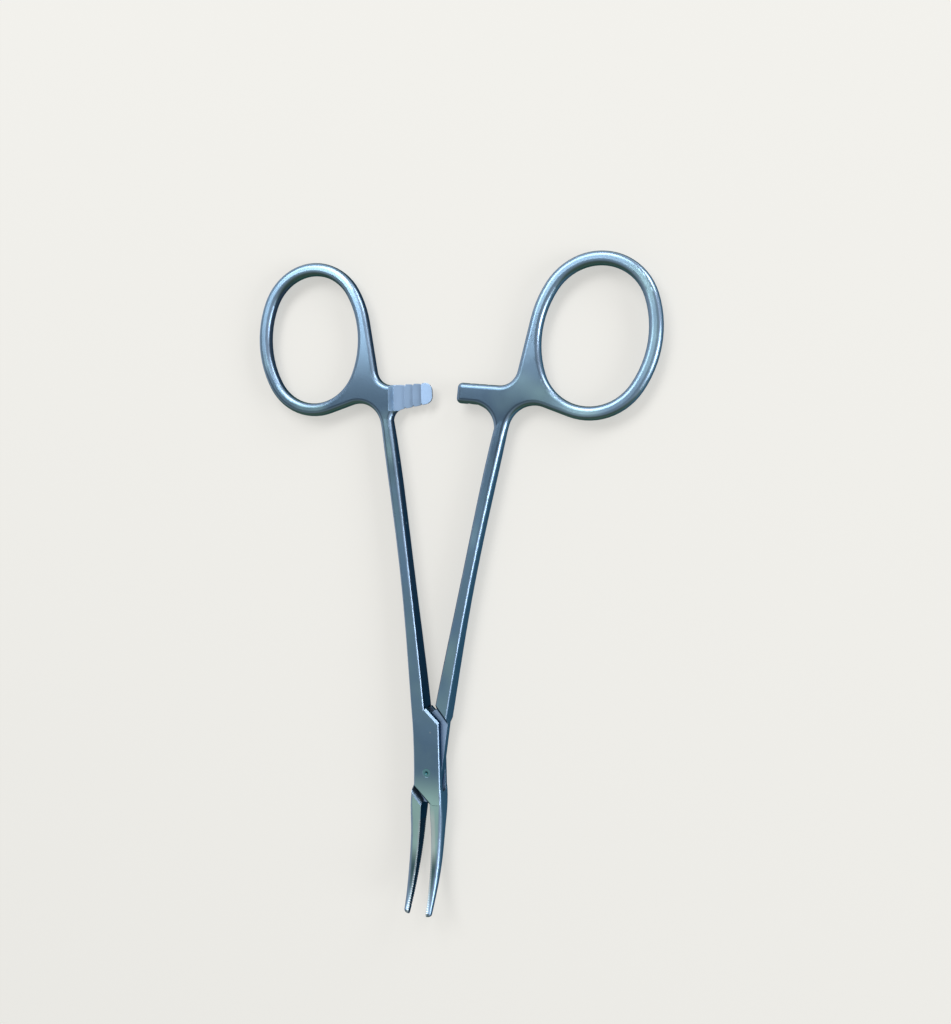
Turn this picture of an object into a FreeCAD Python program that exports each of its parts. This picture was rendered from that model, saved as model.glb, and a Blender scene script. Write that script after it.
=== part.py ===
import FreeCAD, Part
import math
import os
import Sketcher

# Curved mosquito-pattern haemostatic forceps, 125 mm long when closed.
# The female half is the left shank and the right jaw, with the slot of the box lock.
# The male half is the right shank and the left jaw, whose thin tongue passes through that slot.
# Each half is drawn closed, with the pivot axis as its origin and the mid-plane as z = 0,
# and is then turned open by rest_turn, so that the model stands as far open as the photograph shows.
# Frame: +Z up, rings towards +Y, jaws towards -Y, underside of the box lock on z = 0.

Vector = FreeCAD.Vector
Rotation = FreeCAD.Rotation
Placement = FreeCAD.Placement

# name, millimetres or degrees, what it is
SIZES = [
    ("rest_turn", 3.8, "turn of each half from closed to the pose of the photograph"),
    ("box_thick", 4.0, "thickness of the box lock"),
    ("box_edge", 0.4, "round along the long edges of the box lock"),
    ("box_shank_side", 2.75, "from the pivot to the box edge under the own shank, at the lower lip"),
    ("box_waist", 2.62, "from the pivot to the box edge where it is narrowest"),
    ("box_waist_along", 3.2, "how far above the pivot the box is narrowest"),
    ("box_jaw_side", 2.65, "from the pivot to the box edge above the own jaw"),
    ("crotch_up", 12.1, "from the pivot up to where the shanks part"),
    ("lip_drop", 2.6, "how far the upper lip falls across the box"),
    ("crotch_down", 6.05, "from the pivot down to where the jaws part"),
    ("lip_rise", 3.2, "how far the lower lip rises across the box"),
    ("lip_past_axis", 0.4, "how far the lower lip passes the axis towards the own jaw"),
    ("lip_bevel", 0.4, "bevel along the lips"),
    ("slot_overrun", 3.0, "how far the cuts for slot and shoulders run past the steel"),
    ("shoulder_gap", 0.15, "gap between lip and shoulder with the jaws closed"),
    ("shoulder_slope", 35.0, "lean of the shoulders away from the lips"),
    ("tongue_thick", 1.5, "thickness of the tongue in the slot"),
    ("tongue_play", 0.06, "gap on each face of the tongue"),
    ("tongue_side_gap", 0.15, "gap around the outline of the tongue, and its step back from the box sides"),
    ("pin_diameter", 1.6, "pivot pin"),
    ("pin_play", 0.04, "running gap around the pin in the tongue"),
    ("pin_dimple", 0.6, "diameter of the dimple in the top of the pin"),
    ("pin_dimple_deep", 0.2, "depth of that dimple"),
    ("shank_foot_up", 9.4, "where the shank starts in the box, above the pivot"),
    ("shank_foot_out", 1.4, "centre of the shank at its foot, out from the axis"),
    ("head_below_ring", 16.1, "from the ring's centre down to where the shank ends in the web"),
    ("head_inside_ring", 15.34, "from the ring's centre in to the middle of the shank's head"),
    ("shank_bow", 0.48, "how far the middle of the shank bows inward"),
    ("shank_foot_wide", 2.7, "width of the shank at its foot"),
    ("shank_foot_thick", 3.98, "thickness of the shank at its foot"),
    ("shank_lower_wide", 2.5, "width of the shank above its foot"),
    ("shank_lower_thick", 3.86, "thickness of the shank above its foot"),
    ("shank_waist_wide", 2.1, "width of the shank in its middle"),
    ("shank_waist_thick", 3.1, "thickness of the shank in its middle"),
    ("shank_upper_wide", 2.4, "width of the shank below the web"),
    ("shank_upper_thick", 2.85, "thickness of the shank below the web"),
    ("shank_head_wide", 2.4, "width of the shank inside the web"),
    ("shank_head_thick", 2.26, "thickness of the shank inside the web"),
    ("shank_foot_round", 0.4, "round along the shank's edges at its foot"),
    ("shank_lower_round", 0.4, "round along the shank's edges above its foot"),
    ("shank_waist_round", 0.62, "round along the shank's edges in its middle"),
    ("shank_upper_round", 0.8, "round along the shank's edges below the web"),
    ("shank_head_round", 0.95, "round along the shank's edges inside the web"),
    ("ring_out", 22.64, "centre of the finger ring, out from the axis"),
    ("ring_up", 83.42, "centre of the finger ring, above the pivot"),
    ("ring_lean", 2.7, "lean of the ring's long axis away from the instrument"),
    ("ring_half_wide", 10.95, "half width of the ring, to the middle of its wire"),
    ("ring_half_long", 13.77, "half length of the ring, to the middle of its wire"),
    ("ring_end_radius", 10.1, "radius of the ring's ends, to the middle of its wire"),
    ("ring_wire", 2.5, "width of the ring's wire"),
    ("ring_thick", 2.3, "thickness of the ring, web and ratchet"),
    ("ring_round", 0.98, "round along every edge of the ring and web"),
    ("web_stub_long", 7.95, "how far the web runs on inside the shank, below the ratchet bar"),
    ("web_stub_inset", 0.05, "how far that part stays inside each side of the shank"),
    ("corner_inside_ring", 13.29, "from the ring's centre in to the corner of web and shank"),
    ("corner_below_ring", 11.8, "from the ring's centre down to the same corner"),
    ("web_outer_round", 4.9, "hollow between the shank and the ring"),
    ("bar_corner_inside_ring", 13.84, "from the ring's centre in to the corner of web and ratchet bar"),
    ("web_inner_round", 3.3, "hollow between the ring and the ratchet bar"),
    ("bar_below_ring", 9.95, "from the ring's centre down to the upper edge of the ratchet bar"),
    ("bar_wide", 3.85, "width of the ratchet bar"),
    ("bar_flare", 1.15, "how much wider the female bar is at its root"),
    ("bar_reach", 2.1, "how far the ratchet bar passes the axis with the jaws closed"),
    ("male_tip_round", 0.9, "corners of the male ratchet bar's tip"),
    ("female_tip_round", 1.45, "corners of the female ratchet bar's tip"),
    ("female_root_round", 2.2, "hollow between the female ratchet bar and its shank"),
    ("male_root_round", 4.4, "hollow between the male ratchet bar and its shank"),
    ("bar_gap", 0.05, "gap from each ratchet bar to the mid-plane"),
    ("tooth_count", 3, "ratchet teeth on each bar"),
    ("tooth_pitch", 1.72, "distance from one ratchet tooth to the next"),
    ("tooth_deep", 0.55, "depth of the ratchet teeth"),
    ("tooth_first", 0.2, "crest of the first ratchet tooth, out from the axis"),
    ("notch_wide", 0.7, "width of the notch beside each tooth, in the edges of the female bar"),
    ("notch_deep", 0.42, "depth of that notch"),
    ("bar_step_out", 6.45, "end of the ratchet's recess, out from the axis"),
    ("bar_step_run", 0.6, "how far the end wall of that recess leans"),
    ("grip_turn", 1.24, "angle between a gripping face and the axis with the tips closed"),
    ("tip_gap", 0.05, "gap from each tip to the axis with the jaws closed"),
    ("bend_start", 11.1, "where the jaws start to curve, below the pivot"),
    ("bend_radius", 33.8, "radius of the jaws' upward curve"),
    ("bend_turn", 26.1, "turn of that curve"),
    ("jaw_root_down", 3.0, "where the jaw starts in the box, below the pivot"),
    ("jaw_root_wide", 2.2, "width of a jaw at its root"),
    ("jaw_root_thick", 3.92, "thickness of a jaw at its root"),
    ("jaw_root_round", 0.5, "outer rounds of a jaw at its root"),
    ("jaw_collar_down", 6.0, "where the jaw leaves the box, below the pivot"),
    ("jaw_collar_wide", 2.3, "width of a jaw where it leaves the box"),
    ("jaw_collar_thick", 3.88, "thickness of a jaw where it leaves the box"),
    ("jaw_collar_round", 0.6, "outer rounds of a jaw where it leaves the box"),
    ("jaw_neck_down", 8.6, "where the jaw's neck is, below the pivot"),
    ("jaw_neck_wide", 2.28, "width of a jaw at its neck"),
    ("jaw_neck_thick", 3.43, "thickness of a jaw at its neck"),
    ("jaw_neck_round", 0.85, "outer rounds of a jaw at its neck"),
    ("jaw_heel_wide", 2.12, "width of a jaw where the curve starts"),
    ("jaw_heel_thick", 2.95, "thickness of a jaw where the curve starts"),
    ("jaw_heel_round", 0.9, "outer rounds of a jaw where the curve starts"),
    ("jaw_mid_wide", 1.65, "width of a jaw halfway round the curve"),
    ("jaw_mid_thick", 2.1, "thickness of a jaw halfway round the curve"),
    ("jaw_mid_round", 0.8, "outer rounds of a jaw halfway round the curve"),
    ("jaw_tip_wide", 0.98, "width of a jaw at its tip"),
    ("jaw_tip_thick", 1.3, "thickness of a jaw at its tip"),
    ("jaw_tip_round", 0.54, "outer rounds of a jaw at its tip"),
    ("jaw_cap_long", 0.62, "length of the jaw's rounded end"),
    ("grip_edge", 0.1, "small round along a gripping face"),
    ("serration_down", 9.0, "where the serrations start, below the pivot"),
    ("serration_pitch", 0.43, "distance from one serration to the next"),
    ("serration_deep", 0.18, "depth of the serrations"),
]

MALE = 1
FEMALE = -1
# Turns of the jaw's rounded end in degrees, share of a serration left flat, places of the sections
# as shares of the shank's length, and tolerances in millimetres.
CAP_TURNS = (0.0, 20.0, 40.0, 58.0, 74.0)
SERRATION_LAND = 0.12
SHANK_STATIONS = (("head", 1.0), ("upper", 0.86), ("waist", 0.55), ("lower", 0.14), ("foot", 0.0))
SAME_PLACE = 0.05
SAME_PLANE = 0.01

doc = FreeCAD.newDocument("hemostat_forceps")
sheet = doc.addObject("Spreadsheet::Sheet", "Sizes")
for row, (alias, value, meaning) in enumerate(SIZES, start=1):
    sheet.set(f"A{row}", meaning)
    sheet.set(f"B{row}", str(value))
    sheet.setAlias(f"B{row}", alias)
doc.recompute()


def size(alias):
    return float(sheet.get(alias))


def measure(expression):
    return float(sheet.evalExpression(expression))


def new_body(label):
    body = doc.addObject("PartDesign::Body", label)
    body.Label = label
    return body


def new_sketch(body, name, placement=Placement()):
    sketch = body.newObject("Sketcher::SketchObject", name)
    planes = {feature.Role: feature for feature in body.Origin.OriginFeatures}
    sketch.AttachmentSupport = [(planes["XY_Plane"], "")]
    sketch.MapMode = "FlatFace"
    sketch.AttachmentOffset = placement
    return sketch


def draw_loop(sketch, edges):
    first = sketch.GeometryCount
    for edge in edges:
        sketch.addGeometry(edge, False)
    last = sketch.GeometryCount - 1
    for index in range(first, last + 1):
        following = first if index == last else index + 1
        ends = [(here, there) for here in (1, 2) for there in (1, 2)]
        gaps = [
            (sketch.getPoint(index, here) - sketch.getPoint(following, there)).Length
            for here, there in ends
        ]
        here, there = ends[gaps.index(min(gaps))]
        sketch.addConstraint(Sketcher.Constraint("Coincident", index, here, following, there))


def polygon(points):
    return [
        Part.LineSegment(Vector(*start, 0), Vector(*end, 0))
        for start, end in zip(points, points[1:] + points[:1])
    ]


def three_point_arc(start, middle, end):
    through = Part.Circle(Vector(*start, 0), Vector(*middle, 0), Vector(*end, 0))
    centre = through.Center
    angles = [math.atan2(point[1] - centre.y, point[0] - centre.x) for point in (start, middle, end)]
    whole = 2 * math.pi
    to_middle = (angles[1] - angles[0]) % whole
    to_end = (angles[2] - angles[0]) % whole
    first, sweep = (angles[0], to_end) if to_middle < to_end else (angles[2], whole - to_end)
    circle = Part.Circle(centre, Vector(0, 0, 1), through.Radius)
    return Part.ArcOfCircle(circle, first, first + sweep)


def mirrored(points, side):
    return [(side * x, y) for x, y in points]


def pad(body, sketch, name, length):
    feature = body.newObject("PartDesign::Pad", name)
    feature.Profile = sketch
    feature.SideType = "Symmetric"
    feature.setExpression("Length", length)
    doc.recompute()
    return feature


def pocket_through(body, sketch, name):
    before = body.Shape.Volume
    feature = body.newObject("PartDesign::Pocket", name)
    feature.Profile = sketch
    feature.Type = "ThroughAll"
    feature.SideType = "Symmetric"
    doc.recompute()
    must_be_less(body, before, name)
    return feature


def pocket_away(body, sketch, name, reversed_side, taper):
    before = body.Shape.Volume
    feature = body.newObject("PartDesign::Pocket", name)
    feature.Profile = sketch
    feature.Reversed = reversed_side
    feature.setExpression("Length", "Sizes.box_thick")
    feature.setExpression("TaperAngle", taper)
    doc.recompute()
    must_be_less(body, before, name)
    return feature


def must_be_less(body, before, name):
    if not body.Shape.Volume < before:
        raise RuntimeError(f"{name} cut nothing")


def dress(body, kind, name, keep, amount, expression):
    base = body.Tip
    names = [f"Edge{number}" for number, edge in enumerate(base.Shape.Edges, start=1) if keep(edge)]
    feature = body.newObject(kind, name)
    feature.Base = (base, names)
    feature.setExpression(amount, expression)
    doc.recompute()
    return feature


def fillet(body, name, keep, expression):
    return dress(body, "PartDesign::Fillet", name, keep, "Radius", expression)


def chamfer(body, name, keep, expression):
    return dress(body, "PartDesign::Chamfer", name, keep, "Size", expression)


def upright_at(points):
    def keep(edge):
        ends = [vertex.Point for vertex in edge.Vertexes]
        if len(ends) != 2 or abs(ends[0].z - ends[1].z) < SAME_PLACE:
            return False
        for x, y in points:
            if all(math.hypot(end.x - x, end.y - y) < SAME_PLACE for end in ends):
                return True
        return False

    return keep


# Rounded section of a shank or a jaw, in a plane across it.
# Its inner side is on the sketch's own upright axis, or both sides stand evenly about that axis.
def section(body, name, placement, wide, thick, inner_round, outer_round, centred):
    sketch = new_sketch(body, name, placement)
    half = measure(thick) / 2
    low = -measure(wide) / 2 if centred else 0.0
    high = low + measure(wide)
    small = measure(inner_round)
    large = measure(outer_round)
    quarter = math.pi / 2
    corners = [
        (low + small, half - small, small, quarter, 2 * quarter),
        (low + small, small - half, small, 2 * quarter, 3 * quarter),
        (high - large, large - half, large, 3 * quarter, 4 * quarter),
        (high - large, half - large, large, 0.0, quarter),
    ]
    arcs = []
    for x, y, radius, start, end in corners:
        circle = Part.Circle(Vector(x, y, 0), Vector(0, 0, 1), radius)
        arcs.append(sketch.addGeometry(Part.ArcOfCircle(circle, start, end), False))
    lines = []
    for arc, following in zip(arcs, arcs[1:] + arcs[:1]):
        edge = Part.LineSegment(sketch.getPoint(arc, 2), sketch.getPoint(following, 1))
        lines.append(sketch.addGeometry(edge, False))
    for arc, line, following in zip(arcs, lines, arcs[1:] + arcs[:1]):
        sketch.addConstraint(Sketcher.Constraint("Tangent", arc, 2, line, 1))
        sketch.addConstraint(Sketcher.Constraint("Tangent", line, 2, following, 1))
    inner, lower, outer, upper = lines
    for line in (inner, outer):
        sketch.addConstraint(Sketcher.Constraint("Vertical", line))
    for line in (lower, upper):
        sketch.addConstraint(Sketcher.Constraint("Horizontal", line))
    sketch.addConstraint(Sketcher.Constraint("Equal", arcs[0], arcs[1]))
    sketch.addConstraint(Sketcher.Constraint("Equal", arcs[2], arcs[3]))
    bound = [
        (Sketcher.Constraint("DistanceX", inner, 1, outer, 1, high - low), wide),
        (Sketcher.Constraint("DistanceY", lower, 1, upper, 1, 2 * half), thick),
        (Sketcher.Constraint("DistanceY", -1, 1, upper, 1, half), f"{thick} / 2"),
        (Sketcher.Constraint("Radius", arcs[0], small), inner_round),
        (Sketcher.Constraint("Radius", arcs[2], large), outer_round),
    ]
    if centred:
        bound.append((Sketcher.Constraint("DistanceX", -1, 1, outer, 1, high), f"{wide} / 2"))
    else:
        sketch.addConstraint(Sketcher.Constraint("PointOnObject", inner, 1, -2))
    for constraint, expression in bound:
        index = sketch.addConstraint(constraint)
        sketch.setExpression(f"Constraints[{index}]", expression)
    return sketch


def loft(body, name, sections):
    feature = body.newObject("PartDesign::AdditiveLoft", name)
    feature.Profile = sections[0]
    feature.Sections = sections[1:]
    doc.recompute()
    return feature


# The ring's outline is an oval of four arcs, set off from the middle of its wire.
class Oval:
    def __init__(self, side, offset):
        self.side = side
        self.half_wide = size("ring_half_wide") + offset
        self.half_long = size("ring_half_long") + offset
        self.end_radius = size("ring_end_radius") + offset
        rise = self.half_long - self.end_radius
        spare = self.half_wide - self.end_radius
        self.side_radius = (rise ** 2 + self.half_wide ** 2 - self.end_radius ** 2) / (2 * spare)
        self.rise = rise
        self.reach = self.side_radius - self.half_wide
        self.join = math.atan2(rise, self.reach)

    # A point of the ring's own frame, x away from the instrument, in the half's frame.
    def place(self, x, y):
        lean = math.radians(size("ring_lean"))
        out = size("ring_out") + x * math.cos(lean) + y * math.sin(lean)
        up = size("ring_up") - x * math.sin(lean) + y * math.cos(lean)
        return (out, up)

    def on_side(self, direction, angle):
        x = direction * (self.side_radius * math.cos(angle) - self.reach)
        return self.place(x, self.side_radius * math.sin(angle))

    def on_end(self, direction, angle):
        x = self.end_radius * math.cos(angle)
        return self.place(x, direction * (self.rise + self.end_radius * math.sin(angle)))

    def arc(self, point, direction, start, end):
        stops = [point(direction, angle) for angle in (start, (start + end) / 2, end)]
        return three_point_arc(*mirrored(stops, self.side))

    def whole(self):
        return [
            self.arc(self.on_side, 1, -self.join, self.join),
            self.arc(self.on_end, 1, self.join, math.pi - self.join),
            self.arc(self.on_side, -1, self.join, -self.join),
            self.arc(self.on_end, -1, math.pi - self.join, self.join),
        ]


# Angle on a circle at which a line from an outer point touches it, on the chosen hand.
def touch_angle(centre, radius, point, hand):
    away_x = point[0] - centre[0]
    away_y = point[1] - centre[1]
    return math.atan2(away_y, away_x) + hand * math.acos(radius / math.hypot(away_x, away_y))


# Heights of the upper and lower edges of a ratchet bar at its tip.
def bar_levels():
    bar_top = size("ring_up") - size("bar_below_ring")
    return bar_top, bar_top - size("bar_wide")


# Corner between the lower edge of a bar and its shank, seen with the shank on the +x side.
def bar_root_corner(side):
    low = bar_levels()[1] - (size("bar_flare") if side == FEMALE else 0.0)
    return shank_centre(low) - size("shank_head_wide") / 2, low


def add_handle(body, side):
    outer = Oval(side, size("ring_wire") / 2)
    lean = math.radians(size("ring_lean"))
    ring_out = size("ring_out")
    ring_up = size("ring_up")
    bar_top, bar_low = bar_levels()
    bar_root = bar_root_corner(side)
    web_corner = (ring_out - size("corner_inside_ring"), ring_up - size("corner_below_ring"))
    bar_corner = (ring_out - size("bar_corner_inside_ring"), bar_top)
    stub_up = bar_low - size("web_stub_long")
    stub_half = size("shank_upper_wide") / 2 - size("web_stub_inset")
    stub_inner = (shank_centre(stub_up) - stub_half, stub_up)
    stub_outer = (shank_centre(stub_up) + stub_half, stub_up)

    side_centre = outer.place(outer.reach, 0.0)
    side_touch = touch_angle(side_centre, outer.side_radius, bar_corner, -1) + lean
    end_centre = outer.place(0.0, -outer.rise)
    end_touch = touch_angle(end_centre, outer.end_radius, web_corner, 1) + lean
    side_angle = math.remainder(math.pi - side_touch, 2 * math.pi)
    end_angle = math.remainder(-end_touch, 2 * math.pi)
    ring_side = outer.on_side(-1, side_angle)
    ring_end = outer.on_end(-1, end_angle)

    tip_out = -size("bar_reach")
    straight = [
        ring_side, bar_corner, (tip_out, bar_top), (tip_out, bar_low),
        bar_root, stub_inner, stub_outer, web_corner, ring_end,
    ]
    straight = mirrored(straight, side)
    edges = [
        Part.LineSegment(Vector(*start, 0), Vector(*end, 0))
        for start, end in zip(straight, straight[1:])
    ]
    edges += [
        outer.arc(outer.on_end, -1, end_angle, outer.join),
        outer.arc(outer.on_side, 1, -outer.join, outer.join),
        outer.arc(outer.on_end, 1, outer.join, math.pi - outer.join),
        outer.arc(outer.on_side, -1, outer.join, side_angle),
    ]
    plan = new_sketch(body, "HandlePlan")
    draw_loop(plan, edges)
    pad(body, plan, "Handle", "Sizes.ring_thick")

    tips = mirrored([(tip_out, bar_top), (tip_out, bar_low)], side)
    fillet(body, "WebHollow", upright_at(mirrored([web_corner], side)), "Sizes.web_outer_round")
    fillet(body, "BarHollow", upright_at(mirrored([bar_corner], side)), "Sizes.web_inner_round")
    half = "female" if side == FEMALE else "male"
    fillet(body, "BarRoot", upright_at(mirrored([bar_root], side)), f"Sizes.{half}_root_round")
    fillet(body, "BarTip", upright_at(tips), f"Sizes.{half}_tip_round")

    hole = new_sketch(body, "FingerHole")
    draw_loop(hole, Oval(side, -size("ring_wire") / 2).whole())
    pocket_through(body, hole, "FingerOpening")

    top = size("ring_thick") / 2

    def rim(edge):
        box = edge.BoundBox
        flat = box.ZLength < SAME_PLANE and abs(abs(box.Center.z) - top) < SAME_PLANE
        return flat and box.Center.y > stub_up + SAME_PLANE

    fillet(body, "HandleRounds", rim, "Sizes.ring_round")


# Saw teeth face the mid-plane: on top of the female bar, and underneath the male one.
def add_ratchet(body, side):
    pitch = size("tooth_pitch")
    crest = size("tooth_first")
    deep = size("tooth_deep")
    past = size("bar_reach") + pitch
    clear = size("ring_thick")
    level = size("bar_gap")
    points = [(-past, level)]
    crests = [crest + tooth * pitch for tooth in range(int(size("tooth_count")))]
    for out in crests:
        points.append((out, level))
        points.append((out, level + deep))
    step_out = size("bar_step_out")
    run = size("bar_step_run")
    points += [(step_out - run, level), (step_out + run, -clear), (-past, -clear)]
    bar_top, bar_low = bar_levels()
    tilt = Rotation(Vector(1, 0, 0), 90)
    place = Placement(Vector(0, (bar_top + bar_low) / 2, 0), tilt)
    teeth = new_sketch(body, "TeethProfile", place)
    draw_loop(teeth, polygon([(side * x, side * y) for x, y in points]))
    before = body.Shape.Volume
    cut = body.newObject("PartDesign::Pocket", "Teeth")
    cut.Profile = teeth
    cut.SideType = "Symmetric"
    cut.setExpression("Length", "Sizes.bar_wide + 2 * Sizes.bar_flare")
    doc.recompute()
    must_be_less(body, before, "Teeth")
    if side == FEMALE:
        add_tooth_notches(body, crests)


# The female teeth also show as notches in both edges of their bar.
def add_tooth_notches(body, crests):
    half = size("notch_wide") / 2
    deep = size("notch_deep")
    bar_top, bar_low = bar_levels()
    root_out, root_low = bar_root_corner(FEMALE)
    reach = size("bar_reach")
    plan = new_sketch(body, "NotchPlan")
    for out in crests:
        lower = bar_low + (root_low - bar_low) * (out + reach) / (root_out + reach)
        for edge_up, inward in ((bar_top, -1), (lower, 1)):
            points = [
                (-out - half, edge_up - inward * deep),
                (-out + half, edge_up - inward * deep),
                (-out + half, edge_up),
                (-out, edge_up + inward * deep),
                (-out - half, edge_up),
            ]
            draw_loop(plan, polygon(points))
    pocket_through(body, plan, "ToothNotches")


# Height and distance from the axis of the two ends of the shank's centre line.
def shank_ends():
    foot = (size("shank_foot_up"), size("shank_foot_out"))
    head = (size("ring_up") - size("head_below_ring"), size("ring_out") - size("head_inside_ring"))
    return foot, head


def shank_centre(up):
    (foot_up, foot_out), (head_up, head_out) = shank_ends()
    along = (up - foot_up) / (head_up - foot_up)
    straight = foot_out + along * (head_out - foot_out)
    return straight - 4 * size("shank_bow") * along * (1 - along)


def add_shank(body, side):
    (foot_up, _), (head_up, _) = shank_ends()
    across = Rotation(Vector(1, 0, 0), 90)
    sections = []
    for name, along in SHANK_STATIONS:
        up = foot_up + along * (head_up - foot_up)
        place = Placement(Vector(side * shank_centre(up), up, 0), across)
        wide, thick, edge_round = (f"Sizes.shank_{name}_{kind}" for kind in ("wide", "thick", "round"))
        sections.append(section(body, f"Shank_{name}", place, wide, thick, edge_round, edge_round, True))
    loft(body, "Shank", sections)


# The gripping face is the plane x = 0 of the jaw's own frame.
def jaw_frame(side):
    turn = size("grip_turn")
    reach = size("bend_start") + size("bend_radius") * math.sin(math.radians(size("bend_turn")))
    away = size("tip_gap") + reach * math.tan(math.radians(turn))
    return Placement(Vector(-side * away, 0, 0), Rotation(Vector(0, 0, 1), side * turn))


# Section of a jaw at a distance below the pivot, and then a turn round its curve.
def jaw_section(body, side, name, down, turn, sizes):
    angle = math.radians(turn)
    radius = size("bend_radius")
    base = Vector(0, -down - radius * math.sin(angle), radius * (1 - math.cos(angle)))
    across = Rotation(Vector(1, 0, 0), 90 - turn)
    facing = Rotation(Vector(0, 0, 1), 180 if side == MALE else 0)
    place = jaw_frame(side).multiply(Placement(base, across.multiply(facing)))
    return section(body, name, place, *sizes, False)


# Sizes of a section that lies halfway between two named ones, or at one of them.
def jaw_sizes(name, following, share=1.0):
    wide, thick, outer_round = (
        f"(Sizes.jaw_{name}_{kind} + Sizes.jaw_{following}_{kind}) / 2 * {share}"
        for kind in ("wide", "thick", "round")
    )
    return wide, thick, f"Sizes.grip_edge * {share}", outer_round


def add_jaw(body, side):
    start = size("bend_start")
    whole = size("bend_turn")
    stations = [
        ("root", "root", size("jaw_root_down"), 0.0),
        ("collar", "collar", size("jaw_collar_down"), 0.0),
        ("neck", "neck", size("jaw_neck_down"), 0.0),
        ("heel", "heel", start, 0.0),
        ("heel", "mid", start, whole / 4),
        ("mid", "mid", start, whole / 2),
        ("mid", "tip", start, whole * 3 / 4),
        ("tip", "tip", start, whole),
    ]
    sections = [
        jaw_section(body, side, f"Jaw_{name}_{following}", down, turn, jaw_sizes(name, following))
        for name, following, down, turn in stations
    ]
    heel = stations.index(("heel", "heel", start, 0.0))
    loft(body, "JawStraight", sections[:heel + 1])
    loft(body, "JawCurve", sections[heel:])
    cap_turn = math.degrees(size("jaw_cap_long") / size("bend_radius"))
    cap = []
    for step, cap_angle in enumerate(CAP_TURNS):
        angle = math.radians(cap_angle)
        turn = whole + cap_turn * math.sin(angle)
        sizes = jaw_sizes("tip", "tip", math.cos(angle))
        cap.append(jaw_section(body, side, f"Cap_{step}", start, turn, sizes))
    loft(body, "JawEnd", cap)


# One V groove across the gripping face, from its start down the jaw.
def groove(down, side):
    pitch = size("serration_pitch")
    deep = size("serration_deep")
    land = SERRATION_LAND * pitch
    points = [(deep / 2, -down - land), (-deep, -down - pitch / 2), (deep / 2, -down - pitch + land)]
    return polygon(mirrored(points, side))


def cut_grooves(body, name, plan):
    before = body.Shape.Volume
    cut = body.newObject("PartDesign::Pocket", name)
    cut.Profile = plan
    cut.SideType = "Symmetric"
    cut.Refine = False
    cut.setExpression("Length", "2 * Sizes.jaw_heel_thick")
    doc.recompute()
    must_be_less(body, before, name)
    return cut


# Straight grooves above the bend, and one more that is repeated round it.
def add_serrations(body, side):
    frame = jaw_frame(side)
    start = size("bend_start")
    pitch = size("serration_pitch")
    straight = new_sketch(body, "StraightSerrationPlan", frame)
    for index in range(int((start - size("serration_down")) / pitch)):
        draw_loop(straight, groove(start - (index + 1) * pitch, side))
    cut_grooves(body, "StraightSerrations", straight)
    plan = new_sketch(body, "SerrationPlan", frame)
    draw_loop(plan, groove(start, side))
    cut = cut_grooves(body, "Serration", plan)
    centre = Placement(Vector(0, -start, size("bend_radius")), Rotation(Vector(0, 1, 0), 90))
    axis = new_sketch(body, "BendAxis", frame.multiply(centre))
    pattern = body.newObject("PartDesign::PolarPattern", "Serrations")
    pattern.Originals = [cut]
    pattern.Axis = (axis, ["N_Axis"])
    pattern.Reversed = True
    pattern.Refine = False
    pitch_turn = math.degrees(pitch / size("bend_radius"))
    count = int(size("bend_turn") / pitch_turn) - 1
    pattern.Occurrences = count
    pattern.Angle = (count - 1) * pitch_turn
    body.Tip = pattern
    doc.recompute()


# Lips of the box, as seen with the own shank on the +x side, before mirroring.
def lip_points():
    upper_inner = (0.0, size("crotch_up"))
    upper_outer = (-size("box_jaw_side"), size("crotch_up") - size("lip_drop"))
    lower_outer = (size("box_shank_side"), size("lip_rise") - size("crotch_down"))
    lower_inner = (-size("lip_past_axis"), -size("crotch_down"))
    return upper_inner, upper_outer, lower_outer, lower_inner


def extend(start, end, before, after):
    length = math.hypot(end[0] - start[0], end[1] - start[1])
    step_x = (end[0] - start[0]) / length
    step_y = (end[1] - start[1]) / length
    return (
        (start[0] - before * step_x, start[1] - before * step_y),
        (end[0] + after * step_x, end[1] + after * step_y),
    )


def shift(points, distance):
    (x0, y0), (x1, y1) = points
    length = math.hypot(x1 - x0, y1 - y0)
    normal_x = -(y1 - y0) / length
    normal_y = (x1 - x0) / length
    return [(x + distance * normal_x, y + distance * normal_y) for x, y in points]


def drill(body, name, diameter):
    sketch = new_sketch(body, name + "Plan")
    bore = Part.Circle(Vector(0, 0, 0), Vector(0, 0, 1), size("pin_diameter") / 2)
    circle = sketch.addGeometry(bore, False)
    sketch.addConstraint(Sketcher.Constraint("Coincident", circle, 3, -1, 1))
    index = sketch.addConstraint(Sketcher.Constraint("Diameter", circle, size("pin_diameter")))
    sketch.setExpression(f"Constraints[{index}]", diameter)
    pocket_through(body, sketch, name)


# Keeps the edges that lie on a line through two points, above or below the given level.
def on_line(points, level):
    (x0, y0), (x1, y1) = points
    length = math.hypot(x1 - x0, y1 - y0)

    def keep(edge):
        ends = [vertex.Point for vertex in edge.Vertexes]
        if len(ends) != 2 or abs(ends[0].z - ends[1].z) > size("lip_bevel"):
            return False
        if min(abs(end.z) for end in ends) < level:
            return False
        offsets = [((x1 - x0) * (end.y - y0) - (y1 - y0) * (end.x - x0)) / length for end in ends]
        return max(abs(offset) for offset in offsets) < SAME_PLANE and edge.Length > size("lip_bevel")

    return keep


def box_side():
    own_top = (shank_centre(size("shank_foot_up")) + size("shank_foot_wide") / 2, size("shank_foot_up"))
    waist = (size("box_waist"), size("box_waist_along"))
    return own_top, waist


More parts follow.
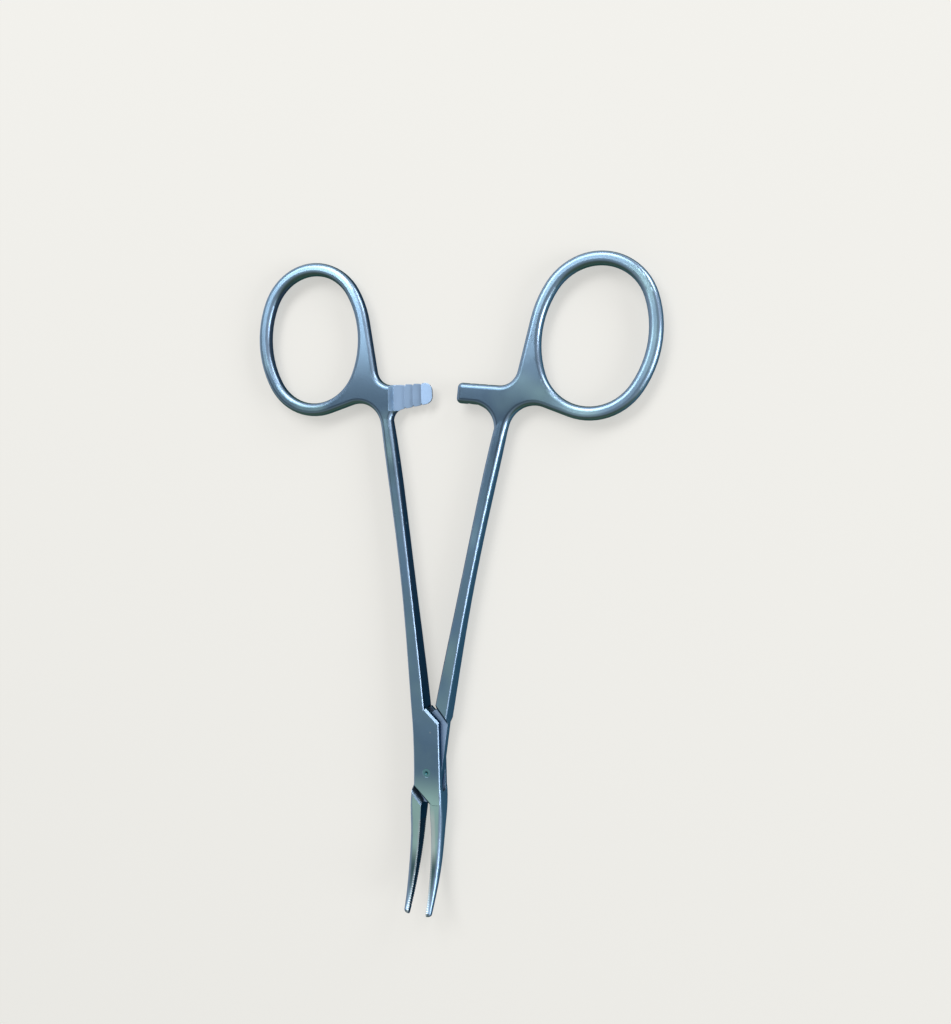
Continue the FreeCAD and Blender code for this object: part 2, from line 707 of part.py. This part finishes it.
def add_box(body, side):
    upper_inner, upper_outer, lower_outer, lower_inner = mirrored(lip_points(), side)
    own_top, waist = mirrored(box_side(), side)
    jaw_corner = (upper_outer[0], lower_inner[1])
    corners = [own_top, upper_inner, upper_outer, jaw_corner, lower_inner, lower_outer]
    edges = [
        Part.LineSegment(Vector(*start, 0), Vector(*end, 0))
        for start, end in zip(corners, corners[1:])
    ]
    edges.append(three_point_arc(lower_outer, waist, own_top))
    plan = new_sketch(body, "BoxPlan")
    draw_loop(plan, edges)
    pad(body, plan, "Box", "Sizes.box_thick")
    level = size("box_thick") / 2 - SAME_PLANE
    jaw_side = on_line((upper_outer, jaw_corner), level)

    def long_edge(edge):
        curved = "Circle" in edge.Curve.TypeId and abs(edge.CenterOfMass.z) > level
        return curved or jaw_side(edge)

    chamfer(body, "UpperLip", on_line((upper_inner, upper_outer), level), "Sizes.lip_bevel")
    chamfer(body, "LowerLip", on_line((lower_outer, lower_inner), level), "Sizes.lip_bevel")
    fillet(body, "BoxRounds", long_edge, "Sizes.box_edge")


def add_slot(body, side):
    overrun = size("slot_overrun")
    upper_inner, upper_outer, lower_outer, lower_inner = lip_points()
    wall_top = extend((-upper_outer[0], upper_outer[1]), upper_inner, overrun, 0.0)
    jaw_wall = (2 * lower_inner[0] - lower_outer[0], lower_outer[1])
    wall_low = extend(lower_inner, jaw_wall, 0.0, overrun)
    above = (upper_inner[0], upper_inner[1] + overrun)
    below = (lower_inner[0], lower_inner[1] - overrun)
    points = [
        above, wall_top[1], wall_top[0], (wall_top[0][0], below[1]), below,
        wall_low[0], wall_low[1], (wall_low[1][0], above[1]),
    ]
    plan = new_sketch(body, "SlotPlan")
    draw_loop(plan, polygon(mirrored(points, side)))
    before = body.Shape.Volume
    slot = body.newObject("PartDesign::Pocket", "Slot")
    slot.Profile = plan
    slot.SideType = "Symmetric"
    slot.setExpression("Length", "Sizes.tongue_thick + 2 * Sizes.tongue_play")
    doc.recompute()
    must_be_less(body, before, "Slot")


def add_tongue(body, side):
    gap = size("tongue_side_gap")
    upper_inner, upper_outer, lower_outer, lower_inner = lip_points()
    own_top, waist = box_side()
    side_low = (gap - lower_outer[0], lower_outer[1] - gap)
    side_waist = (gap - waist[0], waist[1])
    side_top = (gap - own_top[0], own_top[1] - gap)
    peak = (upper_inner[0], upper_inner[1] - 2 * gap)
    shank_inside = (shank_centre(upper_inner[1]), upper_inner[1])
    flank_out = shank_inside[0] + size("shank_foot_wide") / 2 - gap / 2
    flank_top = (flank_out, upper_inner[1] - gap)
    flank_low = (-upper_outer[0] - gap, lower_outer[1] - gap)
    apex = (-lower_inner[0], lower_inner[1] + gap)
    jaw_inside = (-lower_outer[0] / 2, lower_inner[1])
    corners = [side_top, peak, shank_inside, flank_top, flank_low, apex, jaw_inside, side_low]
    corners = mirrored(corners, side)
    edges = [
        Part.LineSegment(Vector(*start, 0), Vector(*end, 0))
        for start, end in zip(corners, corners[1:])
    ]
    middle = mirrored([side_waist], side)[0]
    edges.append(three_point_arc(corners[-1], middle, corners[0]))
    plan = new_sketch(body, "TonguePlan")
    draw_loop(plan, edges)
    pad(body, plan, "Tongue", "Sizes.tongue_thick")


# Above and below the tongue, everything between the two shoulders is cut away.
def add_shoulders(body, side):
    gap = size("shoulder_gap")
    overrun = size("slot_overrun")
    upper_inner, upper_outer, lower_outer, lower_inner = [(-x, y) for x, y in lip_points()]
    upper = shift(extend(upper_inner, upper_outer, overrun, overrun), gap)
    lower = shift(extend(lower_outer, lower_inner, overrun, overrun), -gap)
    outline = mirrored([upper[0], upper[1], lower[1], lower[0]], side)
    level = size("tongue_thick") / 2
    for name, height in (("TopShoulders", level), ("UndersideShoulders", -level)):
        plan = new_sketch(body, name + "Plan", Placement(Vector(0, 0, height), Rotation()))
        draw_loop(plan, polygon(outline))
        pocket_away(body, plan, name, height > 0, "Sizes.shoulder_slope")


def finish_half(body, side):
    body.Placement = Placement(Vector(0, 0, size("box_thick") / 2),
                               Rotation(Vector(0, 0, 1), -side * size("rest_turn")))
    body.setExpression(".Placement.Base.z", "Sizes.box_thick / 2")
    doc.recompute()
    return body


def build_female_half():
    body = new_body("female_half")
    add_box(body, FEMALE)
    add_handle(body, FEMALE)
    add_ratchet(body, FEMALE)
    add_shank(body, FEMALE)
    add_jaw(body, FEMALE)
    add_slot(body, FEMALE)
    drill(body, "PinHole", "Sizes.pin_diameter")
    add_serrations(body, FEMALE)
    return finish_half(body, FEMALE)


def build_male_half():
    body = new_body("male_half")
    add_tongue(body, MALE)
    add_handle(body, MALE)
    add_ratchet(body, MALE)
    add_shank(body, MALE)
    add_jaw(body, MALE)
    add_shoulders(body, MALE)
    drill(body, "PinHole", "Sizes.pin_diameter + 2 * Sizes.pin_play")
    add_serrations(body, MALE)
    return finish_half(body, MALE)


def build_pivot_pin():
    body = new_body("pivot_pin")
    radius = size("pin_diameter") / 2
    top = size("box_thick") / 2
    dimple = size("pin_dimple") / 2
    floor = top - size("pin_dimple_deep")
    points = [(0, -top), (radius, -top), (radius, top), (dimple, top), (0, floor)]
    profile = new_sketch(body, "PinProfile", Placement(Vector(), Rotation(Vector(1, 0, 0), 90)))
    draw_loop(profile, polygon(points))
    turned = body.newObject("PartDesign::Revolution", "Pin")
    turned.Profile = profile
    turned.ReferenceAxis = (profile, ["V_Axis"])
    turned.Angle = 360.0
    body.Placement = Placement(Vector(0, 0, top), Rotation())
    body.setExpression(".Placement.Base.z", "Sizes.box_thick / 2")
    doc.recompute()
    return body


bodies = [build_female_half(), build_male_half(), build_pivot_pin()]
for item in doc.Objects:
    if "Invalid" in item.State or "Error" in item.State:
        raise RuntimeError(f"{item.Name} failed: {item.State}")
for body in bodies:
    if body.Shape.isNull() or not body.Shape.isValid() or len(body.Shape.Solids) != 1:
        raise RuntimeError(f"{body.Label} is not one valid solid")

os.makedirs("parts", exist_ok=True)
for body in bodies:
    body.Shape.exportStep(f"parts/{body.Label}.step")
    print(body.Label, round(body.Shape.Volume, 2), body.Shape.BoundBox)
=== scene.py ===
import math

import bpy
from mathutils import Matrix, Vector


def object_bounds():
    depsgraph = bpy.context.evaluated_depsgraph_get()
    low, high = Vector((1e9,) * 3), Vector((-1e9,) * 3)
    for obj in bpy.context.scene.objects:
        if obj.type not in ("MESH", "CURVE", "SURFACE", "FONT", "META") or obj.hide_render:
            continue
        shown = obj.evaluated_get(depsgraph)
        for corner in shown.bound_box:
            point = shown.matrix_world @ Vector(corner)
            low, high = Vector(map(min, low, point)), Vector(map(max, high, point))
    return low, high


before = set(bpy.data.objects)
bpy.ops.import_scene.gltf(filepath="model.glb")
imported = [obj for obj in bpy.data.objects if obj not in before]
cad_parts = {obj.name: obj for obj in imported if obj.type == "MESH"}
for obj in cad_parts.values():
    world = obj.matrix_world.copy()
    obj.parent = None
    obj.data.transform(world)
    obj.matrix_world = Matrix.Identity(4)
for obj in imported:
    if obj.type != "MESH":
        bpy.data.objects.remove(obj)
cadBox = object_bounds()
print("frame loaded:", sorted(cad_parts))


# small helpers for wiring up materials

def newMaterial(name):
    material = bpy.data.materials.new(name)
    material.use_nodes = True
    material.node_tree.nodes.clear()
    return material


def addNode(tree, kind, inputs=None, **properties):
    # inputs may hold plain values or the output sockets of other nodes
    node = tree.nodes.new(kind)
    for key, value in properties.items():
        setattr(node, key, value)
    for key, value in (inputs or {}).items():
        if isinstance(value, bpy.types.NodeSocket):
            tree.links.new(value, node.inputs[key])
        else:
            node.inputs[key].default_value = value
    return node


def mixColour(tree, factor, first, second):
    node = addNode(tree, "ShaderNodeMix", data_type="RGBA")
    for socket, value in ((node.inputs[0], factor), (node.inputs[6], first), (node.inputs[7], second)):
        if isinstance(value, bpy.types.NodeSocket):
            tree.links.new(value, socket)
        elif isinstance(value, (int, float)):
            socket.default_value = value
        else:
            socket.default_value = (*value, 1)
    return node.outputs[2]


def remap(tree, value, low, high, newLow, newHigh):
    inputs = {"Value": value, "From Min": low, "From Max": high, "To Min": newLow, "To Max": newHigh}
    return addNode(tree, "ShaderNodeMapRange", inputs).outputs["Result"]


def smooth(tree, value, low, high):
    inputs = {"Value": value, "From Min": low, "From Max": high}
    return addNode(tree, "ShaderNodeMapRange", inputs, interpolation_type="SMOOTHSTEP").outputs["Result"]


def calculate(tree, operation, *values):
    return addNode(tree, "ShaderNodeMath", dict(enumerate(values)), operation=operation).outputs[0]


def product(tree, first, *factors):
    for factor in factors:
        first = calculate(tree, "MULTIPLY", first, factor)
    return first


def invert(tree, value):
    return calculate(tree, "SUBTRACT", 1.0, value)


def within(tree, value, middle, reach):
    return calculate(tree, "COMPARE", value, middle, reach)


def splitAxes(tree, vector):
    return addNode(tree, "ShaderNodeSeparateXYZ", {0: vector}).outputs


def noise(tree, place, scale, detail, roughness=0.5):
    inputs = {"Vector": place, "Scale": scale, "Detail": detail, "Roughness": roughness}
    return addNode(tree, "ShaderNodeTexNoise", inputs).outputs["Fac"]


def surface(tree, shader):
    output = addNode(tree, "ShaderNodeOutputMaterial")
    tree.links.new(shader.outputs[0], output.inputs["Surface"])


# satin stainless steel: dark blue-grey flats, with a painted highlight on the round of each edge and
# painted shade on the side walls, set by which way each face points

satinSteel = {
    "flatColour": (0.200, 0.350, 0.470),
    "flatDeepColour": (0.155, 0.275, 0.420),
    "mottleScale": 95.0,
    "mottleDetail": 4.0,
    "mottleRoughness": 0.6,
    "mottleStart": 0.36,
    "mottleEnd": 0.64,
    # painted highlight on the rounds of the edges, and painted shade on the edges that face towards the
    # tips
    "edgeHighlightColour": (0.350, 0.500, 0.700),
    "edgeRadius": 0.00012,
    "frontShadeColour": (0.095, 0.165, 0.150),
    "frontStart": 0.10,
    "frontEnd": 0.60,
    # painted shade on the side walls, less deep on the instrument's right-hand side
    "wallShadeRight": (0.070, 0.150, 0.240),
    "wallShadeAcross": (0.030, 0.052, 0.088),
    "wallShadeAlong": (0.040, 0.090, 0.078),
    "rightStart": 0.0012,
    "rightFull": 0.0034,
    "acrossStart": 0.25,
    "acrossEnd": 0.85,
    "wallStart": 0.36,
    "wallEnd": 0.84,
    "flatStart": 0.89,
    "flatEnd": 0.990,
    "grazeTint": (0.34, 0.40, 0.46),
    # painted shade on the webs, bars and shank tops, and painted reflection on the rings
    "webShadeColour": (0.080, 0.135, 0.200),
    "ringColour": (0.235, 0.370, 0.520),
    # painted light on the ground teeth and the tongue, and on the wall at the teeth's inner end
    "bareLitColour": (0.370, 0.540, 0.790),
    "bareMetal": 0.80,
    "recessLitColour": (0.330, 0.500, 0.700),
    "greenColour": (0.560, 0.900, 0.840),
    "greenScale": 60.0,
    "mintColour": (0.820, 1.000, 0.980),
    "mintShare": 0.10,
    # painted shade on the jaws' tips
    "tipShadeColour": (0.085, 0.170, 0.190),
    # painted highlights on the serration ends
    "beadHighlightColour": (0.800, 0.940, 1.000),
    "speckColour": (0.320, 0.430, 0.520),
    "speckScale": 620.0,
    "speckStart": 0.055,
    "speckEnd": 0.16,
    "rareScale": 217.0,
    "rareStart": 0.60,
    "rareEnd": 0.68,
    "grainScale": 5200.0,
    "grainHeight": 0.000006,
    "brushStretch": (2600.0, 260.0, 2600.0),
    "brushHeight": 0.000005,
    "roughnessLow": 0.26,
    "roughnessHigh": 0.42,
    "polishStart": 0.3,
    "polishEnd": 0.7,
}


# the gripping faces at rest: offset and slope from the middle, start and radius of the bend, serrations
gripLine = {
    "offset": 0.000611,
    "slope": -0.0447,
    "bendStart": 0.0111,
    "bendRadius": 0.0338,
    "pitch": 0.00043,
    "first": -0.0092,
    "width": 0.00042,
    "fullWidth": 0.000294,
    "beadStart": -0.4,
    "beadFull": 0.5,
    "facingUp": 0.45,
}


def gripDistance(tree, place):
    spot = splitAxes(tree, place)
    face = calculate(tree, "MULTIPLY_ADD", spot["Y"], gripLine["slope"], gripLine["offset"])
    return calculate(tree, "SUBTRACT", calculate(tree, "ABSOLUTE", spot["X"]), face)


def gripBeadHighlights(tree, place, upward, grip):
    # painted highlights: light beads where the serrations end in the jaws' top edges
    along = splitAxes(tree, place)["Y"]
    down = calculate(tree, "SUBTRACT", product(tree, along, -1.0), grip["bendStart"])
    turn = calculate(tree, "ARCSINE", calculate(tree, "DIVIDE", down, grip["bendRadius"]))
    wave = calculate(tree, "COSINE", product(tree, turn, math.tau * grip["bendRadius"] / grip["pitch"]))
    beads = smooth(tree, wave, grip["beadStart"], grip["beadFull"])
    edge = invert(tree, smooth(tree, gripDistance(tree, place), grip["fullWidth"], grip["width"]))
    served = calculate(tree, "LESS_THAN", along, grip["first"])
    topped = calculate(tree, "GREATER_THAN", upward, grip["facingUp"])
    return product(tree, beads, edge, served, topped)


jawTint = {
    "start": 0.001,
    "full": -0.006,
    "fading": -0.0135,
    "gone": -0.0185,
    "strength": 0.90,
    "patches": 0.30,
    "patchDetail": 2.0,
    "patchStart": 0.46,
    "patchEnd": 0.72,
    "innerFull": 0.0007,
    "innerGone": 0.0011,
    "mintStart": -0.0055,
    "mintFull": -0.0090,
}


def jawTone(tree, place, look, flat, jaws):
    # the greenish cast of the jaws and of the lower box, lighter along one gripping edge, and painted
    # shade on the tips
    along = splitAxes(tree, place)["Y"]
    cloud = noise(tree, place, look["greenScale"], jaws["patchDetail"])
    patch = product(tree, smooth(tree, cloud, jaws["patchStart"], jaws["patchEnd"]), jaws["patches"])
    band = product(tree, smooth(tree, along, jaws["start"], jaws["full"]), jaws["strength"])
    flat = mixColour(tree, calculate(tree, "MAXIMUM", patch, band), flat, look["greenColour"])
    inner = invert(tree, smooth(tree, gripDistance(tree, place), jaws["innerFull"], jaws["innerGone"]))
    below = smooth(tree, along, jaws["mintStart"], jaws["mintFull"])
    flat = mixColour(tree, product(tree, inner, below, look["mintShare"]), flat, look["mintColour"])
    return mixColour(tree, smooth(tree, along, jaws["fading"], jaws["gone"]), flat, look["tipShadeColour"])


# where the painted shade of the webs and the painted reflection of the rings begin and end
handleBands = {
    "webStart": 0.046,
    "webFull": 0.062,
    "ringStart": 0.0690,
    "ringFull": 0.0830,
    "outerStart": 0.0185,
    "outerFull": 0.0260,
}


def handleTone(tree, place, look, flat, handle):
    # painted shade keeps the webs, the bars and the shanks' tops dark, and a painted reflection makes the
    # rings brighter
    spot = splitAxes(tree, place)
    begins = smooth(tree, spot["Y"], handle["webStart"], handle["webFull"])
    outer = smooth(tree, spot["X"], handle["outerStart"], handle["outerFull"])
    ring = smooth(tree, spot["Y"], handle["ringStart"], handle["ringFull"])
    ringReflection = calculate(tree, "MAXIMUM", ring, product(tree, outer, begins))
    flat = mixColour(tree, begins, flat, look["webShadeColour"])
    return mixColour(tree, ringReflection, flat, look["ringColour"])


# ground faces that get painted light: the female bar's teeth, the wall at the inner end of those teeth,
# and the tongue
groundFaces = {
    "facingUp": 0.3,
    "teethFrom": 0.066,
    "teethBelow": 0.0022,
    "tongueFrom": -0.006,
    "tongueTo": 0.012,
    "tongueBelow": 0.00285,
    "wallAcross": -0.0112,
    "wallAcrossReach": 0.0009,
    "wallAlong": 0.0710,
    "wallAlongReach": 0.0040,
    "wallRise": 0.5,
    "wallRiseReach": 0.25,
    "wallLean": 0.5,
}


def groundLitFlats(tree, place, upward, ground):
    # told by their height: the teeth on the ratchet bar, and the tongue beside the box
    spot = splitAxes(tree, place)
    lookingUp = calculate(tree, "GREATER_THAN", upward, ground["facingUp"])
    teeth = product(tree, calculate(tree, "GREATER_THAN", spot["Y"], ground["teethFrom"]),
                    calculate(tree, "LESS_THAN", spot["Z"], ground["teethBelow"]))
    tongue = product(tree, calculate(tree, "GREATER_THAN", spot["Y"], ground["tongueFrom"]),
                     calculate(tree, "LESS_THAN", spot["Y"], ground["tongueTo"]),
                     calculate(tree, "LESS_THAN", spot["Z"], ground["tongueBelow"]))
    return product(tree, calculate(tree, "MAXIMUM", teeth, tongue), lookingUp)


# painted light on the wall at the inner end of the teeth, which lies in shadow
def recessWallLight(tree, place, facing, ground):
    spot = splitAxes(tree, place)
    return product(tree, within(tree, spot["X"], ground["wallAcross"], ground["wallAcrossReach"]),
                   within(tree, spot["Y"], ground["wallAlong"], ground["wallAlongReach"]),
                   within(tree, facing["Z"], ground["wallRise"], ground["wallRiseReach"]),
                   calculate(tree, "GREATER_THAN", facing["X"], ground["wallLean"]))


def steelMaterial(name, look):
    material = newMaterial(name)
    tree = material.node_tree
    place = addNode(tree, "ShaderNodeTexCoord").outputs["Object"]

    # which way the steel faces, with its sharp edges softened
    rounded = addNode(tree, "ShaderNodeBevel", {"Radius": look["edgeRadius"]}, samples=6).outputs["Normal"]
    turned = addNode(tree, "ShaderNodeVectorTransform", {0: rounded},
                     vector_type="NORMAL", convert_from="WORLD", convert_to="OBJECT").outputs[0]
    facing = splitAxes(tree, turned)
    upward = calculate(tree, "ABSOLUTE", facing["Z"])
    across = calculate(tree, "ABSOLUTE", facing["X"])
    forward = product(tree, facing["Y"], -1.0)

    # flats with slow changes of tone and the green cast
    mottle = noise(tree, place, look["mottleScale"], look["mottleDetail"], look["mottleRoughness"])
    tone = smooth(tree, mottle, look["mottleStart"], look["mottleEnd"])
    flat = mixColour(tree, tone, look["flatColour"], look["flatDeepColour"])
    flat = handleTone(tree, place, look, flat, handleBands)
    flat = jawTone(tree, place, look, flat, jawTint)

    # the ratchet teeth and the tongue in the slot are ground bare and less metallic, and painted light
    # makes their flats lighter
    bare = groundLitFlats(tree, place, facing["Z"], groundFaces)
    flat = mixColour(tree, bare, flat, look["bareLitColour"])
    metal = remap(tree, bare, 0.0, 1.0, 1.0, look["bareMetal"])

    # painted shade on the side walls, set by which way they face, less deep on the right-hand side of the
    # instrument
    right = smooth(tree, splitAxes(tree, place)["X"], look["rightStart"], look["rightFull"])
    sideways = mixColour(tree, right, look["wallShadeAcross"], look["wallShadeRight"])
    walled = smooth(tree, across, look["acrossStart"], look["acrossEnd"])
    wall = mixColour(tree, walled, look["wallShadeAlong"], sideways)

    # from the painted shade of the walls to a painted highlight on the round of each edge, with painted
    # shade on edges that face towards the tips, and on to the flat
    fronted = smooth(tree, forward, look["frontStart"], look["frontEnd"])
    edge = mixColour(tree, fronted, look["edgeHighlightColour"], look["frontShadeColour"])
    colour = mixColour(tree, smooth(tree, upward, look["wallStart"], look["wallEnd"]), wall, edge)
    colour = mixColour(tree, smooth(tree, upward, look["flatStart"], look["flatEnd"]), colour, flat)
    # painted light on the wall at the inner end of the teeth
    colour = mixColour(tree, recessWallLight(tree, place, facing, groundFaces), colour, look["recessLitColour"])
    # painted highlights where the serrations end
    colour = mixColour(tree, gripBeadHighlights(tree, place, facing["Z"], gripLine), colour, look["beadHighlightColour"])

    # scattered tiny pits that catch the light
    speck = addNode(tree, "ShaderNodeTexVoronoi", {"Vector": place, "Scale": look["speckScale"]})
    near = invert(tree, smooth(tree, speck.outputs["Distance"], look["speckStart"], look["speckEnd"]))
    rare = smooth(tree, noise(tree, place, look["rareScale"], 1.0), look["rareStart"], look["rareEnd"])
    colour = mixColour(tree, product(tree, near, rare), colour, look["speckColour"])

    # blasted grain with faint brush lines along the length
    grain = noise(tree, place, look["grainScale"], 2.0)
    stretched = addNode(tree, "ShaderNodeMapping", {"Vector": place, "Scale": look["brushStretch"]})
    brush = noise(tree, stretched.outputs["Vector"], 1.0, 2.0)
    grainBump = addNode(tree, "ShaderNodeBump",
                        {"Height": grain, "Distance": look["grainHeight"], "Normal": rounded})
    brushBump = addNode(tree, "ShaderNodeBump",
                        {"Height": brush, "Distance": look["brushHeight"],
                         "Normal": grainBump.outputs["Normal"]})
    roughness = remap(tree, mottle, look["polishStart"], look["polishEnd"],
                      look["roughnessLow"], look["roughnessHigh"])

    steel = addNode(tree, "ShaderNodeBsdfPrincipled",
                    {"Base Color": colour, "Metallic": metal, "Roughness": roughness,
                     "Specular Tint": (*look["grazeTint"], 1), "Normal": brushBump.outputs["Normal"]})
    surface(tree, steel)
    return material


def dress(node, material):
    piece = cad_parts[node]
    piece.data.materials.clear()
    piece.data.materials.append(material)
    return piece


# the female half's jaw has the lighter gripping edge
femaleLook = {**satinSteel, "mintShare": 0.85}
femaleHalf = dress("female_half", steelMaterial("femaleSteel", femaleLook))
print("satin steel on", femaleHalf.name)

maleLook = {**satinSteel}
maleHalf = dress("male_half", steelMaterial("maleSteel", maleLook))
print("satin steel on", maleHalf.name)


# the pin: a teal ring with painted shade in its punched middle

pinSteel = {
    "ringColour": (0.190, 0.420, 0.470),
    # painted shade in the pin's punched middle
    "middleShadeColour": (0.010, 0.080, 0.095),
    "middleSize": 0.00010,
    "ringStart": 0.00050,
    "roughness": 0.38,
    "grainScale": 5200.0,
    "grainHeight": 0.000012,
}


def pinMaterial(name, look):
    material = newMaterial(name)
    tree = material.node_tree
    place = addNode(tree, "ShaderNodeTexCoord").outputs["Object"]
    flattened = addNode(tree, "ShaderNodeVectorMath", {0: place, 1: (1.0, 1.0, 0.0)}, operation="MULTIPLY")
    away = addNode(tree, "ShaderNodeVectorMath", {0: flattened.outputs[0]}, operation="LENGTH")
    ring = smooth(tree, away.outputs["Value"], look["middleSize"], look["ringStart"])
    colour = mixColour(tree, ring, look["middleShadeColour"], look["ringColour"])
    grain = noise(tree, place, look["grainScale"], 2.0)
    bump = addNode(tree, "ShaderNodeBump", {"Height": grain, "Distance": look["grainHeight"]})
    steel = addNode(tree, "ShaderNodeBsdfPrincipled",
                    {"Base Color": colour, "Metallic": 1.0, "Roughness": look["roughness"],
                     "Normal": bump.outputs["Normal"]})
    surface(tree, steel)
    return material


pivotPin = dress("pivot_pin", pinMaterial("pinSteel", pinSteel))
print("ground steel on", pivotPin.name)


# table top and backdrop in one pale sheet

tableTop = {
    "halfSize": 1.6,
    "gapBelow": 0.00002,
    "colour": (0.843, 0.834, 0.797),
    "roughness": 0.9,
    "sheen": 0.1,
    "evenShare": 0.55,
}


def makeTable(look):
    half = look["halfSize"]
    level = cadBox[0][2] - look["gapBelow"]
    mesh = bpy.data.meshes.new("tableSheet")
    corners = [(-half, -half, level), (half, -half, level), (half, half, level), (-half, half, level)]
    mesh.from_pydata(corners, [], [(0, 1, 2, 3)])
    sheet = bpy.data.objects.new("tableSheet", mesh)
    bpy.context.scene.collection.objects.link(sheet)
    material = newMaterial("palePaper")
    tree = material.node_tree
    paper = addNode(tree, "ShaderNodeBsdfPrincipled",
                    {"Base Color": (*look["colour"], 1), "Roughness": look["roughness"],
                     "Specular IOR Level": look["sheen"]})
    # the lens and the steel see part of the sheet's tone as plain colour, so it stays even
    even = addNode(tree, "ShaderNodeEmission", {"Color": (*look["colour"], 1), "Strength": 1.0})
    ray = addNode(tree, "ShaderNodeLightPath").outputs
    seen = calculate(tree, "MAXIMUM", ray["Is Camera Ray"],
                     calculate(tree, "MAXIMUM", ray["Is Glossy Ray"], ray["Is Transmission Ray"]))
    share = product(tree, seen, look["evenShare"])
    sheetMix = addNode(tree, "ShaderNodeMixShader", {0: share, 1: paper.outputs[0], 2: even.outputs[0]})
    surface(tree, sheetMix)
    mesh.materials.append(material)


makeTable(tableTop)
print("table laid")


# soft light: a dim room and four large lamps round the table

roomLight = {"colour": (1.0, 1.0, 1.0), "strength": 0.38}
lamps = {
    "rightLamp": {"place": (0.95, -0.05, 0.36), "size": 0.5, "power": 4.4, "colour": (1.0, 1.0, 1.0)},
    "leftLamp": {"place": (-0.42, 0.51, 0.81), "size": 0.5, "power": 3.6, "colour": (1.0, 1.0, 1.0)},
    "backLamp": {"place": (-0.10, 0.85, 0.78), "size": 0.5, "power": 3.6, "colour": (1.0, 1.0, 1.0)},
    "cornerLamp": {"place": (0.65, 0.78, 0.33), "size": 0.4, "power": 2.6, "colour": (1.0, 1.0, 1.0)},
}
lampAim = Vector((0.0, 0.035, 0.0))


def lightRoom(look):
    world = bpy.data.worlds.new("room")
    world.use_nodes = True
    background = world.node_tree.nodes["Background"]
    background.inputs["Color"].default_value = (*look["colour"], 1)
    background.inputs["Strength"].default_value = look["strength"]
    bpy.context.scene.world = world


def addLamp(name, look):
    data = bpy.data.lights.new(name, "AREA")
    data.shape = "DISK"
    data.size = look["size"]
    data.energy = look["power"]
    data.color = look["colour"]
    lamp = bpy.data.objects.new(name, data)
    lamp.location = look["place"]
    lamp.rotation_euler = (lampAim - lamp.location).to_track_quat("-Z", "Y").to_euler()
    bpy.context.scene.collection.objects.link(lamp)


lightRoom(roomLight)
for lampName, lampLook in lamps.items():
    addLamp(lampName, lampLook)
print("lamps placed")


# the camera, where the photograph was taken from

cameraPlace = {
    "lens": 34.40,
    "film": 36.0,
    "nearest": 0.01,
    "farthest": 20.0,
    "position": (0.069074, 0.055167, 0.17297),
    "right": (0.9388821, 0.0394058, -0.3419759),
    "up": (-0.0477769, 0.9987285, -0.0160863),
    "back": (0.3409071, 0.0314417, 0.939571),
}


def placeCamera(look):
    data = bpy.data.cameras.new("benchCamera")
    data.lens = look["lens"]
    data.sensor_width = look["film"]
    data.sensor_fit = "AUTO"
    data.clip_start = look["nearest"]
    data.clip_end = look["farthest"]
    camera = bpy.data.objects.new("benchCamera", data)
    turn = Matrix((look["right"], look["up"], look["back"])).transposed().to_4x4()
    camera.matrix_world = Matrix.Translation(look["position"]) @ turn
    bpy.context.scene.collection.objects.link(camera)
    bpy.context.scene.camera = camera


placeCamera(cameraPlace)
bpy.context.scene.view_settings.view_transform = "Standard"
print("camera placed")
